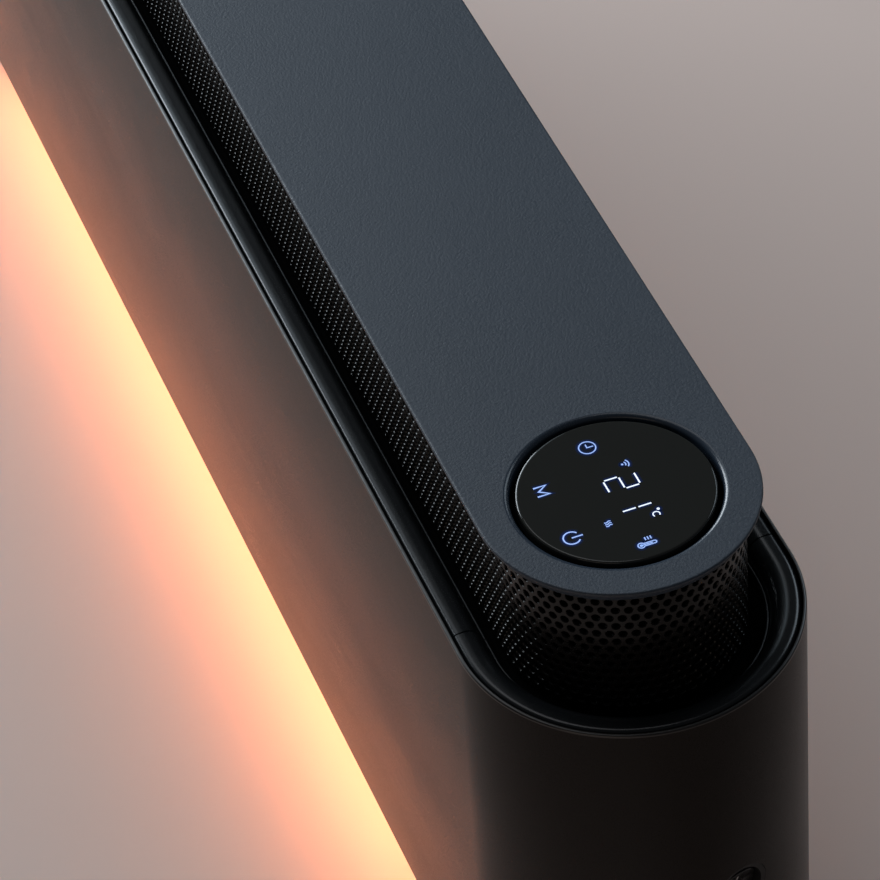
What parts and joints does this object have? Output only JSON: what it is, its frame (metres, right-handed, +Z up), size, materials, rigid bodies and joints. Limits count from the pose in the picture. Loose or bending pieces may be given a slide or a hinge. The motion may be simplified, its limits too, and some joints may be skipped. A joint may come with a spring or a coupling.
{
  "type": "convector heater",
  "caption": "Low free-standing convector heater: round-ended casing, perforated outlet band under a lid plate, round touch display, rocker switch and underlight.",
  "frame": {"origin": "on the floor under the middle of the casing", "axes": "+X along the length towards the display end, -Y to the front, +Z up"},
  "size_m": [0.8998, 0.125, 0.295],
  "materials": {
    "shell_paint": "satin powder coat, brown-black",
    "lid_satin": "fine-textured satin coat, slate",
    "trim_black": "smooth black moulding",
    "mesh_black": "perforated sheet, black",
    "moulded_black": "black moulding",
    "base_black": "black powder coat",
    "display_glass": "dark tinted glass, polished",
    "board_green": "circuit board",
    "component_black": "moulded component",
    "galvanised_sheet": "galvanised sheet",
    "element_aluminium": "extruded",
    "rod_steel": "drawn",
    "bush_ceramic": "unglazed",
    "pad_rubber": "matt",
    "strip_white": "white circuit strip",
    "diffuser_warm": "translucent, lit warm",
    "rocker_black": "smooth black moulding",
    "screw_steel": "blackened",
    "standoff_brass": "turned",
    "sensor_white": "moulded"
  },
  "bodies": {
    "casing": {"base_screws": "screw_steel", "base_tray": "base_black", "board_components": "component_black", "board_standoffs": "standoff_brass", "bulkhead_left": "galvanised_sheet", "bulkhead_right": "galvanised_sheet", "cord_gland": "pad_rubber", "deck_screws": "screw_steel", "display_board": "board_green", "display_carrier": "moulded_black", "display_glass": "display_glass", "element_bush_left": "bush_ceramic", "element_bush_right": "bush_ceramic", "foot_bar_left": "moulded_black", "foot_bar_right": "moulded_black", "foot_pads": "pad_rubber", "foot_screws": "screw_steel", "front_shell": "shell_paint", "heating_element": "element_aluminium", "heating_rod": "rod_steel", "led_strip": "strip_white", "lid_posts": "moulded_black", "lid_screws": "screw_steel", "light_channel": "element_aluminium", "light_diffuser": "diffuser_warm", "mesh_end_left": "mesh_black", "mesh_end_right": "mesh_black", "mesh_front": "mesh_black", "mesh_rear": "mesh_black", "outlet_deck": "moulded_black", "power_board": "board_green", "rear_panel": "shell_paint", "rear_screws": "screw_steel", "room_sensor": "sensor_white", "switch_cup": "moulded_black", "terminal_block": "component_black", "thermal_cutout": "bush_ceramic", "tilt_bracket": "galvanised_sheet", "tilt_contact": "component_black", "tilt_pin": "rod_steel", "top_lid": "lid_satin", "trim_end_left": "trim_black", "trim_end_right": "trim_black", "trim_front": "trim_black", "trim_rear": "trim_black"},
    "rocker": {"switch_rocker": "rocker_black"},
    "tilt_weight": {"tilt_weight": "standoff_brass"}
  },
  "joints": [
    {"name": "rocker_hinge", "type": "hinge", "parent": "casing", "child": "rocker", "pos_m": [0.44164, 0.014, 0.1493], "axis": [-0.2504, 0.9681, 0], "range_deg": [-20, 0]},
    {"name": "tilt_hinge", "type": "hinge", "parent": "casing", "child": "tilt_weight", "pos_m": [0.366, 0.014, 0.0772], "axis": [1, 0, 0], "range_deg": [-25, 25]}
  ]
}
